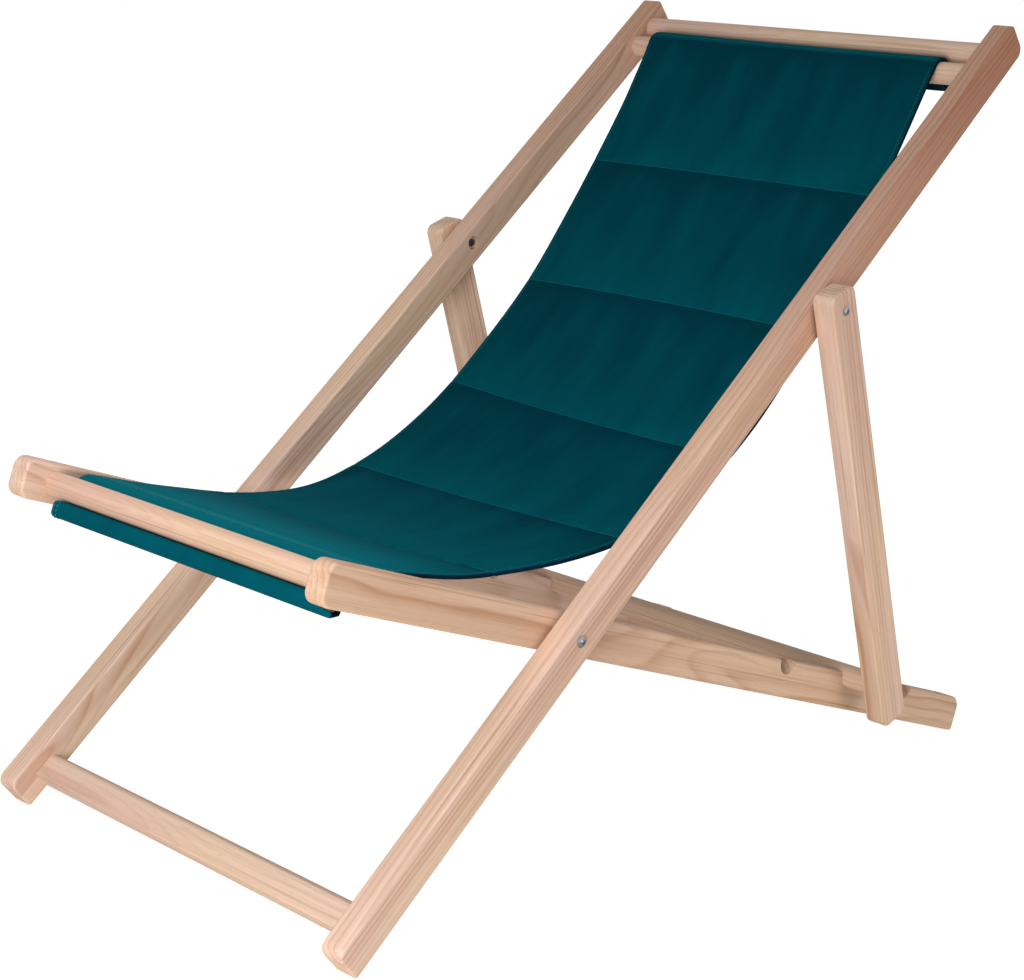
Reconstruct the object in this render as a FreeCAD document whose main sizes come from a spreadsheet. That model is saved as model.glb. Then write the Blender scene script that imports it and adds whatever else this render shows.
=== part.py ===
import FreeCAD, Part
import math
import os
import Sketcher

# Steamer deck chair. Three wooden frames turn about two pairs of bolts, and a padded
# canvas sling hangs between the back frame's top and the seat frame's front.
# Millimetres and degrees. X runs across the chair, +X to the sitter's left. The chair
# faces -Y and stands on Z = 0. Along a rail, "run" is measured from the seat pivot.

V = FreeCAD.Vector
doc = FreeCAD.newDocument("deck_chair")

# Driving dimensions: value, and what it is
SIZES = {
    "seat_frame_width": ("480", "across the outer faces of the seat rails"),
    "pivot_gap": ("2.8", "gap between two frames at a pivot"),
    "back_angle": ("40.88", "back rail above the floor"),
    "seat_angle": ("18.24", "seat rail's fall towards the rear"),
    "seat_rail_thick": ("25", "seat rail along X"),
    "seat_rail_depth": ("42", "seat rail, lower to upper edge"),
    "seat_bolt_height": ("19.5", "seat pivot above the seat rail's lower edge"),
    "seat_front_run": ("318", "seat pivot to the seat rail's front end"),
    "seat_front_radius": ("12", "rounding of the front end's corners"),
    "seat_rear_radius": ("15", "rounding of the rear end's upper corner"),
    "back_rail_thick": ("28", "back rail along X"),
    "back_rail_depth": ("38", "back rail, front to rear edge"),
    "back_bolt_setback": ("15.5", "pivots behind the back rail's front edge"),
    "foot_run": ("381.3", "seat pivot to the foot's end"),
    "back_top_run": ("886", "seat pivot to the back rail's top end"),
    "foot_radius": ("11", "rounding of the foot's front corner"),
    "back_top_radius": ("12", "rounding of the top end's rear corner"),
    "crisp_radius": ("3", "slight rounding of the corners left square"),
    "floor_flat": ("1", "depth worn flat where a rail stands on the floor"),
    "arris_radius": ("3", "rounding along the rails' long edges"),
    "strut_thick": ("26", "prop strut along X"),
    "strut_depth": ("41.5", "prop strut, front to rear edge"),
    "strut_head_run": ("22", "prop pivot to the strut's upper end"),
    "strut_tail_run": ("42", "prop dowel to the strut's lower end"),
    "strut_end_radius": ("10", "rounding of the strut's corners"),
    "prop_pivot_run": ("456.7", "seat pivot to prop pivot along the back rail"),
    "notch_radius": ("14", "radius of a notch"),
    "notch_drop": ("2", "notch centre below the seat rail's upper edge"),
    "notch_first_run": ("400", "seat pivot to the first notch"),
    "notch_pitch": ("127.5", "notch to notch"),
    "notch_clearance": ("0.3", "prop dowel above the notch's bottom"),
    "ramp_length": ("101.5", "used notch's centre to the end of the ramp that frees the prop dowel"),
    "ramp_knee": ("57.5", "used notch's centre to where the ramp steepens"),
    "ramp_knee_depth": ("7.45", "ramp below the seat rail's upper edge there"),
    "dowel_radius": ("13", "cross dowels of the seat and prop frames"),
    "back_dowel_radius": ("12.5", "cross dowels at the top of the back frame"),
    "front_dowel_setback": ("40", "front dowel behind the seat rail's front end"),
    "dowel_pitch": ("35", "centres of two dowels that trap the sling"),
    "rear_dowel_setback": ("89", "rear dowel before the seat rail's rear end"),
    "top_dowel_setback": ("30.5", "top dowel below the back rail's top end"),
    "tenon_length": ("14", "a cross piece's end inside its rail"),
    "tenon_end_gap": ("0.5", "beyond a tenon's end"),
    "glue_line": ("0.05", "round a tenon"),
    "stretcher_inset": ("43", "foot stretcher's middle above the foot's end"),
    "stretcher_height": ("31", "foot stretcher along the rail"),
    "stretcher_thick": ("20", "foot stretcher, front to rear"),
    "stretcher_radius": ("8", "rounding of the stretcher's upper edges"),
    "stretcher_setback": ("25.5", "stretcher's middle behind the rail's front edge"),
    "stretcher_tenon_height": ("20", "stretcher's tenon along the rail"),
    "stretcher_tenon_thick": ("10", "stretcher's tenon, front to rear"),
    "seat_bolt_radius": ("3", "seat pivot bolt's shank"),
    "seat_bolt_head_radius": ("6", "seat pivot bolt's head"),
    "seat_bolt_head_height": ("3.6", "seat pivot bolt's domed head"),
    "seat_nut_radius": ("5.8", "seat pivot nut across corners, halved"),
    "seat_nut_height": ("5", "seat pivot nut"),
    "prop_bolt_radius": ("2.5", "prop pivot bolt's shank"),
    "prop_bolt_head_radius": ("5", "prop pivot bolt's head"),
    "prop_bolt_head_height": ("3", "prop pivot bolt's domed head"),
    "prop_nut_radius": ("4.6", "prop pivot nut across corners, halved"),
    "prop_nut_height": ("4", "prop pivot nut"),
    "bolt_clearance": ("0.05", "round a bolt's shank"),
    "head_rim": ("0.8", "straight rim under a bolt's dome"),
    "recess_width": ("1.2", "width of the cross recess in a bolt's head"),
    "recess_depth": ("1.8", "depth of the cross recess"),
    "nut_pocket_radius": ("8", "round pocket that hides a nut"),
    "nut_pocket_depth": ("6.5", "depth of that pocket"),
    "washer_radius": ("9", "pivot washer"),
    "side_clearance": ("0.15", "each side of a washer"),
    "sling_width": ("415", "sling along X"),
    "sling_thick": ("5", "padded canvas, both layers and the filling"),
    "sling_clearance": ("0.3", "sling off the wood that it touches"),
    "sling_top_angle": ("58.2", "slope of the sling as it leaves the back dowels"),
    "sling_top_handle": ("583", "how far it keeps that slope"),
    "sling_front_angle": ("15", "slope of the sling as it nears the front dowels"),
    "sling_front_handle": ("390", "how far it keeps that slope"),
    "pocket_thick": ("2.4", "unfilled canvas round a slat"),
    "pocket_setback": ("13", "pocket's ends inside the sling's edges"),
    "slat_thick": ("12", "slat in the sling's pocket"),
    "slat_width": ("40", "slat across"),
    "slat_setback": ("5", "slat's ends inside the pocket's ends"),
    "top_slat_shift": ("5", "top slat above the middle of its two dowels"),
    "front_slat_shift": ("8.5", "front slat before the middle of its two dowels"),
}

# Places worked out from them. Each formula names only the sizes and the places above it.
PLACES = {
    "seat_outer": "sizes.seat_frame_width / 2",
    "seat_inner": "seat_outer - sizes.seat_rail_thick",
    "back_inner": "seat_outer + sizes.pivot_gap",
    "back_outer": "back_inner + sizes.back_rail_thick",
    "prop_inner": "back_outer + sizes.pivot_gap",
    "prop_outer": "prop_inner + sizes.strut_thick",
    "back_rear_edge": "sizes.back_rail_depth - sizes.back_bolt_setback",
    "back_middle": "sizes.back_bolt_setback - sizes.back_rail_depth / 2",
    "seat_upper_edge": "sizes.seat_rail_depth - sizes.seat_bolt_height",
    "seat_middle": "sizes.seat_rail_depth / 2 - sizes.seat_bolt_height",
    "foot_corner_run": "sizes.foot_run - sizes.crisp_radius",
    "foot_corner_back": "back_rear_edge - sizes.crisp_radius",
    "pivot_z": "foot_corner_run * sin(sizes.back_angle) + foot_corner_back * cos(sizes.back_angle)"
               " + sizes.crisp_radius - sizes.floor_flat",
    "seat_corner_low": "sizes.seat_bolt_height - sizes.crisp_radius",
    "seat_corner_run": "(pivot_z + sizes.floor_flat - sizes.crisp_radius"
                       " - seat_corner_low * cos(sizes.seat_angle)) / sin(sizes.seat_angle)",
    "seat_rear_run": "seat_corner_run + sizes.crisp_radius",
    "front_reach": "(sizes.seat_front_run - sizes.seat_front_radius) * cos(sizes.seat_angle)"
                   " + (sizes.seat_bolt_height - sizes.seat_front_radius) * sin(sizes.seat_angle)"
                   " + sizes.seat_front_radius",
    "rear_reach": "(seat_rear_run - sizes.seat_rear_radius) * cos(sizes.seat_angle)"
                  " + (seat_upper_edge - sizes.seat_rear_radius) * sin(sizes.seat_angle)"
                  " + sizes.seat_rear_radius",
    "pivot_y": "(front_reach - rear_reach) / 2",
    "notch_height": "seat_upper_edge - sizes.notch_drop",
    "notch_rest": "notch_height - sizes.notch_radius + sizes.dowel_radius + sizes.notch_clearance",
    "notch_used_run": "sizes.notch_first_run + sizes.notch_pitch",
    "notch_last_run": "sizes.notch_first_run + 2 * sizes.notch_pitch",
    "prop_dowel_y": "pivot_y + notch_used_run * cos(sizes.seat_angle) + notch_rest * sin(sizes.seat_angle)",
    "prop_dowel_z": "pivot_z - notch_used_run * sin(sizes.seat_angle) + notch_rest * cos(sizes.seat_angle)",
    "prop_pivot_y": "pivot_y + sizes.prop_pivot_run * cos(sizes.back_angle)",
    "prop_pivot_z": "pivot_z + sizes.prop_pivot_run * sin(sizes.back_angle)",
    "prop_length": "sqrt((prop_dowel_y - prop_pivot_y)^2 + (prop_dowel_z - prop_pivot_z)^2)",
    "prop_angle": "atan2(prop_dowel_z - prop_pivot_z; prop_dowel_y - prop_pivot_y)",
    "strut_tail_reach": "prop_length + sizes.strut_tail_run",
    "front_dowel_run": "sizes.seat_front_run - sizes.front_dowel_setback",
    "seat_sling_dowel_run": "front_dowel_run - sizes.dowel_pitch",
    "rear_dowel_run": "seat_rear_run - sizes.rear_dowel_setback",
    "top_dowel_run": "sizes.back_top_run - sizes.top_dowel_setback",
    "back_sling_dowel_run": "top_dowel_run - sizes.dowel_pitch",
    "stretcher_run": "sizes.foot_run - sizes.stretcher_inset",
    "stretcher_middle": "sizes.back_bolt_setback - sizes.stretcher_setback",
}


def fill_sheet(name, cells):
    """A spreadsheet with one row per cell: what it is, its value or formula, its alias."""
    sheet = doc.addObject("Spreadsheet::Sheet", name)
    for row, (alias, (content, note)) in enumerate(cells.items(), start=1):
        sheet.set(f"A{row}", note)
        sheet.set(f"B{row}", content)
        sheet.setAlias(f"B{row}", alias)
    doc.recompute()
    return sheet


sizes = fill_sheet("sizes", SIZES)
places = fill_sheet("places", {alias: ("=" + formula, alias.replace("_", " "))
                               for alias, formula in PLACES.items()})


def value(name):
    """A size or a place as a plain number."""
    sheet_name, alias = name.split(".")
    cell = getattr(doc.getObject(sheet_name), alias)
    return float(getattr(cell, "Value", cell))


# Sketches

def body_sketch(body, name, plane):
    """An empty sketch on one of the body's own origin planes."""
    sketch = body.newObject("Sketcher::SketchObject", name)
    origin_plane = [item for item in body.Origin.OriginFeatures if item.Role == plane][0]
    sketch.AttachmentSupport = [(origin_plane, "")]
    sketch.MapMode = "FlatFace"
    return sketch


def bind(sketch, name, constraint, formula):
    """Add a dimension to the sketch and tie it to the sheets."""
    index = sketch.addConstraint(constraint)
    sketch.renameConstraint(index, name)
    sketch.setExpression(f"Constraints.{name}", formula)


def number(formula):
    """The present value of a formula over the sheets, to start a sketch near its answer."""
    reader = doc.addObject("App::FeaturePython", "reader")
    reader.addProperty("App::PropertyFloat", "answer")
    reader.setExpression("answer", formula)
    reader.recompute()
    answer = reader.answer
    doc.removeObject(reader.Name)
    return answer


def rounded_outline(sketch, reach, radii):
    """A rectangle with four rounded corners round the sketch's origin.

    reach: how far it goes to -x, +x, -y and +y. radii: the corners at (-x, -y),
    (+x, -y), (+x, +y) and (-x, +y). All are formulas.
    """
    left, right, low, high = [number(formula) for formula in reach]
    sizes_now = [number(formula) for formula in radii]
    corners = [V(-left, -low, 0), V(right, -low, 0), V(right, high, 0), V(-left, high, 0)]
    along = [V(1, 0, 0), V(0, 1, 0), V(-1, 0, 0), V(0, -1, 0)]
    for side in range(4):
        start = corners[side] + along[side] * sizes_now[side]
        end = corners[(side + 1) % 4] - along[side] * sizes_now[(side + 1) % 4]
        sketch.addGeometry(Part.LineSegment(start, end), False)
    for side in range(4):
        radius = sizes_now[side]
        before = along[side - 1]
        centre = corners[side] + (along[side] - before) * radius
        turn = math.radians(180 + 90 * side)
        circle = Part.Circle(centre, V(0, 0, 1), radius)
        sketch.addGeometry(Part.ArcOfCircle(circle, turn, turn + math.pi / 2), False)
    for side in range(4):
        arc = 4 + side
        sketch.addConstraint(Sketcher.Constraint("Tangent", (side - 1) % 4, 2, arc, 1))
        sketch.addConstraint(Sketcher.Constraint("Tangent", arc, 2, side, 1))
        direction = "Horizontal" if side % 2 == 0 else "Vertical"
        sketch.addConstraint(Sketcher.Constraint(direction, side))
        bind(sketch, f"radius_{side}", Sketcher.Constraint("Radius", arc, sizes_now[side]), radii[side])
    bind(sketch, "reach_left", Sketcher.Constraint("DistanceX", 3, 1, -1, 1, left), reach[0])
    bind(sketch, "reach_right", Sketcher.Constraint("DistanceX", -1, 1, 1, 1, right), reach[1])
    bind(sketch, "reach_low", Sketcher.Constraint("DistanceY", 0, 1, -1, 1, low), reach[2])
    bind(sketch, "reach_high", Sketcher.Constraint("DistanceY", -1, 1, 2, 1, high), reach[3])


def circles(sketch, spots):
    """Circles at (x, y) with a radius, all given as formulas."""
    for index, (x, y, radius) in enumerate(spots):
        centre = V(number(x), number(y), 0)
        sketch.addGeometry(Part.Circle(centre, V(0, 0, 1), number(radius)), False)
        bind(sketch, f"x_{index}", Sketcher.Constraint("DistanceX", -1, 1, index, 3, centre.x), x)
        bind(sketch, f"y_{index}", Sketcher.Constraint("DistanceY", -1, 1, index, 3, centre.y), y)
        bind(sketch, f"r_{index}", Sketcher.Constraint("Radius", index, number(radius)), radius)


def corners(sketch, spots):
    """A closed outline with straight sides through (x, y) corners, all given as formulas."""
    places_now = [V(number(x), number(y), 0) for x, y in spots]
    for index, start in enumerate(places_now):
        end = places_now[(index + 1) % len(spots)]
        sketch.addGeometry(Part.LineSegment(start, end), False)
    for index, (x, y) in enumerate(spots):
        start = places_now[index]
        sketch.addConstraint(Sketcher.Constraint("Coincident", index - 1 if index else len(spots) - 1, 2,
                                                 index, 1))
        bind(sketch, f"x_{index}", Sketcher.Constraint("DistanceX", -1, 1, index, 1, start.x), x)
        bind(sketch, f"y_{index}", Sketcher.Constraint("DistanceY", -1, 1, index, 1, start.y), y)


# Features of a rail, whose local X = 0 plane is its inner face

def pad(body, sketch, length, side):
    """Thicken a sketch from the inner face outwards."""
    feature = body.newObject("PartDesign::Pad", "pad")
    feature.Profile = sketch
    feature.setExpression("Length", length)
    feature.Reversed = side < 0
    sketch.Visibility = False
    doc.recompute()
    return feature


def round_arrises(body, feature, radius):
    """Round the edges of the two broad faces."""
    broad = [f"Face{index}" for index, face in enumerate(feature.Shape.Faces, start=1)
             if isinstance(face.Surface, Part.Plane) and abs(face.normalAt(0, 0).x) > 0.99]
    fillet = body.newObject("PartDesign::Fillet", "arris")
    fillet.Base = (feature, broad)
    fillet.setExpression("Radius", radius)
    doc.recompute()


def pocket(body, sketch, side, depth=None):
    """Cut a sketch out of the rail from its inner face, right through without a depth."""
    before = body.Shape.Volume
    feature = body.newObject("PartDesign::Pocket", "pocket")
    feature.Profile = sketch
    feature.Reversed = side > 0
    if depth is None:
        feature.Type = "ThroughAll"
    else:
        feature.Type = "Length"
        feature.setExpression("Length", depth)
    sketch.Visibility = False
    doc.recompute()
    if not body.Shape.Volume < before:
        raise ValueError(f"{body.Label}: {sketch.Label} cuts nothing")


def holes(body, name, side, spots, depth=None):
    """Round holes from the inner face."""
    sketch = body_sketch(body, name, "YZ_Plane")
    circles(sketch, spots)
    pocket(body, sketch, side, depth)


def put(thing, base, turn=None, axis=V(1, 0, 0)):
    """Tie an object's placement to the sheets: its base point, and a turn about one axis."""
    thing.Placement = FreeCAD.Placement(V(0, 0, 0), FreeCAD.Rotation(axis, 1 if turn else 0))
    for letter, formula in zip("xyz", base):
        thing.setExpression(f"Placement.Base.{letter}", formula)
    if turn:
        thing.setExpression("Placement.Rotation.Angle", turn)


def signed(side, formula):
    """A distance from the middle, on the sitter's left (+X) or right."""
    return formula if side > 0 else f"-({formula})"


SIDES = {"left": 1, "right": -1}
TENON = "sizes.tenon_length"
DOWEL_BORE = "sizes.dowel_radius + sizes.glue_line"
BACK_DOWEL_BORE = "sizes.back_dowel_radius + sizes.glue_line"
SEAT_BOLT_BORE = "sizes.seat_bolt_radius + sizes.bolt_clearance"
PROP_BOLT_BORE = "sizes.prop_bolt_radius + sizes.bolt_clearance"
PIVOT = ("places.pivot_y", "places.pivot_z")
PROP_PIVOT = ("places.prop_pivot_y", "places.prop_pivot_z")

parts = []


def on_floor(label, body):
    """A rail cut flat at the floor."""
    below_floor = doc.addObject("Part::Box", label + "_floor")
    span = body.Shape.BoundBox
    below_floor.Length = span.XLength
    below_floor.Width = span.YLength
    below_floor.setExpression("Height", "2 * sizes.floor_flat")
    below_floor.Placement = FreeCAD.Placement(V(span.XMin, span.YMin, 0), FreeCAD.Rotation())
    below_floor.setExpression("Placement.Base.z", "-2 * sizes.floor_flat")
    trimmed = doc.addObject("Part::Cut", label)
    trimmed.Base = body
    trimmed.Tool = below_floor
    trimmed.Label = label
    parts.append(trimmed)


# Back frame

def back_rail(name, side):
    """Long rail: foot, seat pivot, prop pivot, and the two dowels at its top."""
    body = doc.addObject("PartDesign::Body", f"back_rail_{name}_body")
    outline = body_sketch(body, "outline", "YZ_Plane")
    rounded_outline(
        outline,
        ("sizes.foot_run", "sizes.back_top_run", "places.back_rear_edge", "sizes.back_bolt_setback"),
        ("sizes.crisp_radius", "sizes.back_top_radius", "sizes.crisp_radius", "sizes.foot_radius"))
    bar = pad(body, outline, "sizes.back_rail_thick", side)
    round_arrises(body, bar, "sizes.arris_radius")
    holes(body, "dowel_bores", side, [
        ("places.top_dowel_run", "places.back_middle", BACK_DOWEL_BORE),
        ("places.back_sling_dowel_run", "places.back_middle", BACK_DOWEL_BORE)], TENON)
    holes(body, "seat_bolt_bore", side, [("0", "0", SEAT_BOLT_BORE)])
    holes(body, "prop_bolt_bore", side, [("sizes.prop_pivot_run", "0", PROP_BOLT_BORE)])
    holes(body, "nut_pocket", side, [("sizes.prop_pivot_run", "0", "sizes.nut_pocket_radius")],
          "sizes.nut_pocket_depth")
    mortise = body_sketch(body, "mortise", "YZ_Plane")
    half_height = "sizes.stretcher_tenon_height / 2 + sizes.glue_line"
    half_thick = "sizes.stretcher_tenon_thick / 2 + sizes.glue_line"
    rounded_outline(
        mortise,
        (f"places.stretcher_run + {half_height}", f"-places.stretcher_run + {half_height}",
         f"{half_thick} - places.stretcher_middle", f"{half_thick} + places.stretcher_middle"),
        ("1", "1", "1", "1"))
    pocket(body, mortise, side, TENON)
    put(body, (signed(side, "places.back_inner"), *PIVOT), "sizes.back_angle")
    doc.recompute()
    on_floor(f"back_rail_{name}", body)


def cross_dowel(label, radius, inner_face, y, z):
    """A round rod across the chair, its ends glued into two rails."""
    rod = doc.addObject("Part::Cylinder", label)
    half = f"({inner_face} + sizes.tenon_length - sizes.tenon_end_gap)"
    rod.setExpression("Radius", radius)
    rod.setExpression("Height", f"2 * {half}")
    rod.Placement = FreeCAD.Placement(V(0, 0, 0), FreeCAD.Rotation(V(0, 1, 0), 90))
    for letter, formula in zip("xyz", (f"-{half}", y, z)):
        rod.setExpression(f"Placement.Base.{letter}", formula)
    rod.Label = label
    parts.append(rod)


def on_back(run, height):
    """Y and Z of a point on the back rail, from its run and its height before the bolts' line."""
    return (f"places.pivot_y + ({run}) * cos(sizes.back_angle) - ({height}) * sin(sizes.back_angle)",
            f"places.pivot_z + ({run}) * sin(sizes.back_angle) + ({height}) * cos(sizes.back_angle)")


def on_seat(run, height):
    """Y and Z of a point on the seat rail, from its run to the rear and its height."""
    return (f"places.pivot_y + ({run}) * cos(sizes.seat_angle) + ({height}) * sin(sizes.seat_angle)",
            f"places.pivot_z - ({run}) * sin(sizes.seat_angle) + ({height}) * cos(sizes.seat_angle)")


def foot_stretcher():
    """Flat bar between the feet, with a square tenon at each end."""
    body = doc.addObject("PartDesign::Body", "foot_stretcher")
    bar = body_sketch(body, "bar", "YZ_Plane")
    half_height, half_thick = "sizes.stretcher_height / 2", "sizes.stretcher_thick / 2"
    rounded_outline(bar, (half_height, half_height, half_thick, half_thick),
                    ("1.5", "sizes.stretcher_radius", "sizes.stretcher_radius", "1.5"))
    tenon = body_sketch(body, "tenon", "YZ_Plane")
    half_height, half_thick = "sizes.stretcher_tenon_height / 2", "sizes.stretcher_tenon_thick / 2"
    rounded_outline(tenon, (half_height, half_height, half_thick, half_thick), ("1", "1", "1", "1"))
    spans = ((bar, "2 * places.back_inner"),
             (tenon, "2 * (places.back_inner + sizes.tenon_length - sizes.tenon_end_gap)"))
    for sketch, length in spans:
        span = pad(body, sketch, length, 1)
        span.SideType = "Symmetric"
    put(body, ("0", *on_back("-places.stretcher_run", "places.stretcher_middle")), "sizes.back_angle")
    body.Label = "foot_stretcher"
    parts.append(body)


# Seat frame

def seat_rail(name, side):
    """Rail inside the back frame, with three notches for the prop near its rear."""
    body = doc.addObject("PartDesign::Body", f"seat_rail_{name}_body")
    outline = body_sketch(body, "outline", "YZ_Plane")
    rounded_outline(
        outline,
        ("sizes.seat_front_run", "places.seat_rear_run", "sizes.seat_bolt_height", "places.seat_upper_edge"),
        ("sizes.seat_front_radius", "sizes.crisp_radius", "sizes.seat_rear_radius", "sizes.seat_front_radius"))
    bar = pad(body, outline, "sizes.seat_rail_thick", side)
    round_arrises(body, bar, "sizes.arris_radius")
    holes(body, "notches", side, [
        (run, "places.notch_height", "sizes.notch_radius")
        for run in ("sizes.notch_first_run", "places.notch_used_run", "places.notch_last_run")])
    ramp = body_sketch(body, "ramp", "YZ_Plane")
    corners(ramp, [
        ("places.notch_used_run", "places.notch_height - sizes.notch_radius"),
        ("places.notch_used_run + sizes.ramp_knee", "places.seat_upper_edge - sizes.ramp_knee_depth"),
        ("places.notch_used_run + sizes.ramp_length", "places.seat_upper_edge"),
        ("places.notch_used_run + sizes.ramp_length", "places.seat_upper_edge + sizes.notch_radius"),
        ("places.notch_used_run", "places.seat_upper_edge + sizes.notch_radius")])
    pocket(body, ramp, side)
    holes(body, "dowel_bores", side, [
        ("-places.front_dowel_run", "places.seat_middle", DOWEL_BORE),
        ("-places.seat_sling_dowel_run", "places.seat_middle", DOWEL_BORE),
        ("places.rear_dowel_run", "places.seat_middle", DOWEL_BORE)], TENON)
    holes(body, "seat_bolt_bore", side, [("0", "0", SEAT_BOLT_BORE)])
    holes(body, "nut_pocket", side, [("0", "0", "sizes.nut_pocket_radius")], "sizes.nut_pocket_depth")
    put(body, (signed(side, "places.seat_inner"), *PIVOT), "-sizes.seat_angle")
    doc.recompute()
    on_floor(f"seat_rail_{name}", body)


# Prop frame

def prop_strut(name, side):
    """Strut outside the back frame, from the prop pivot down past the prop dowel."""
    body = doc.addObject("PartDesign::Body", f"prop_strut_{name}")
    outline = body_sketch(body, "outline", "YZ_Plane")
    half = "sizes.strut_depth / 2"
    rounded_outline(outline, ("sizes.strut_head_run", "places.strut_tail_reach", half, half),
                    ("sizes.strut_end_radius",) * 4)
    bar = pad(body, outline, "sizes.strut_thick", side)
    round_arrises(body, bar, "sizes.arris_radius")
    holes(body, "dowel_bore", side, [("places.prop_length", "0", DOWEL_BORE)], TENON)
    holes(body, "prop_bolt_bore", side, [("0", "0", PROP_BOLT_BORE)])
    put(body, (signed(side, "places.prop_inner"), *PROP_PIVOT), "places.prop_angle")
    body.Label = f"prop_strut_{name}"
    parts.append(body)


# Pivots

def bolt(label, side, kind, head_face, length, spot):
    """Bolt with a domed head and a cross recess; its axis is local X, its head towards +X."""
    body = doc.addObject("PartDesign::Body", label)
    profile = body_sketch(body, "profile", "XY_Plane")
    shank, head = f"sizes.{kind}_bolt_radius", f"sizes.{kind}_bolt_head_radius"
    height, rim = f"sizes.{kind}_bolt_head_height", "sizes.head_rim"
    reach, wide, tall, step, thin = [number(item) for item in (length, head, height, rim, shank)]
    corners = [V(-reach, 0, 0), V(-reach, thin, 0), V(0, thin, 0), V(0, wide, 0), V(step, wide, 0),
               V(tall, 0, 0)]
    for index in range(4):
        profile.addGeometry(Part.LineSegment(corners[index], corners[index + 1]), False)
    dome_radius = (wide ** 2 + (tall - step) ** 2) / (2 * (tall - step))
    top = math.atan2(wide, dome_radius - (tall - step))
    dome = Part.Circle(V(tall - dome_radius, 0, 0), V(0, 0, 1), dome_radius)
    profile.addGeometry(Part.ArcOfCircle(dome, 0, top), False)
    profile.addGeometry(Part.LineSegment(corners[5], corners[0]), False)
    joins = ((0, 2, 1, 1), (1, 2, 2, 1), (2, 2, 3, 1), (3, 2, 4, 2), (4, 1, 5, 1), (5, 2, 0, 1))
    for join in joins:
        profile.addConstraint(Sketcher.Constraint("Coincident", *join))
    for index, direction in enumerate(("Vertical", "Horizontal", "Vertical", "Horizontal")):
        profile.addConstraint(Sketcher.Constraint(direction, index))
    profile.addConstraint(Sketcher.Constraint("PointOnObject", 5, 1, -1))
    profile.addConstraint(Sketcher.Constraint("PointOnObject", 5, 2, -1))
    profile.addConstraint(Sketcher.Constraint("PointOnObject", 4, 3, -1))
    profile.addConstraint(Sketcher.Constraint("PointOnObject", 2, 1, -2))
    bind(profile, "reach", Sketcher.Constraint("DistanceX", 0, 1, -1, 1, reach), length)
    bind(profile, "shank", Sketcher.Constraint("DistanceY", -1, 1, 1, 1, thin), shank)
    bind(profile, "head", Sketcher.Constraint("DistanceY", -1, 1, 3, 1, wide), head)
    bind(profile, "rim", Sketcher.Constraint("DistanceX", -1, 1, 3, 2, step), rim)
    bind(profile, "tall", Sketcher.Constraint("DistanceX", -1, 1, 5, 1, tall), height)
    turned = body.newObject("PartDesign::Revolution", "turned")
    turned.Profile = profile
    turned.ReferenceAxis = (profile, ["H_Axis"])
    turned.Angle = 360
    doc.recompute()
    slot = body_sketch(body, "slot", "YZ_Plane")
    slot.AttachmentOffset = FreeCAD.Placement(V(0, 0, 1), FreeCAD.Rotation())
    slot.setExpression("AttachmentOffset.Base.z", f"{height} - sizes.recess_depth")
    half_width = "sizes.recess_width / 2"
    rounded_outline(slot, (f"{head} * 0.5", f"{head} * 0.5", half_width, half_width), ("0.2",) * 4)
    pocket(body, slot, 1)
    cross = body.newObject("PartDesign::PolarPattern", "cross")
    cross.Originals = [body.Tip]
    cross.Axis = (slot, ["N_Axis"])
    cross.Angle = 360
    cross.Occurrences = 4
    body.Tip = cross
    put(body, (signed(side, head_face), *spot), None if side > 0 else "180", V(0, 0, 1))
    body.Label = label
    parts.append(body)


def ring(label, blank, height, bore, start, spot):
    """A washer or nut: a blank round a bolt, on an axis along X from x = start."""
    hole = doc.addObject("Part::Cylinder", label + "_bore")
    hole.setExpression("Radius", bore)
    for piece in (blank, hole):
        piece.setExpression("Height", height)
        piece.Placement = FreeCAD.Placement(V(0, 0, 0), FreeCAD.Rotation(V(0, 1, 0), 90))
        for letter, formula in zip("xyz", (start, *spot)):
            piece.setExpression(f"Placement.Base.{letter}", formula)
    cut = doc.addObject("Part::Cut", label)
    cut.Base = blank
    cut.Tool = hole
    cut.Label = label
    parts.append(cut)


def span_start(side, inner, length):
    """Where a piece starts along X, when its end nearer the middle is at inner."""
    return inner if side > 0 else f"-({inner}) - ({length})"


def washer(label, side, bore, inner, spot):
    """Washer that fills the gap between two frames."""
    blank = doc.addObject("Part::Cylinder", label + "_blank")
    blank.setExpression("Radius", "sizes.washer_radius")
    height = "sizes.pivot_gap - 2 * sizes.side_clearance"
    ring(label, blank, height, bore, span_start(side, f"{inner} + sizes.side_clearance", height), spot)


def nut(label, side, kind, bore, pocket_floor, gap, spot):
    """Hexagonal nut in its pocket, gap below the pocket's floor."""
    blank = doc.addObject("Part::Prism", label + "_blank")
    blank.Polygon = 6
    blank.setExpression("Circumradius", f"sizes.{kind}_nut_radius")
    height = f"sizes.{kind}_nut_height"
    ring(label, blank, height, bore, span_start(side, f"{pocket_floor} - {gap} - {height}", height), spot)


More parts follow.
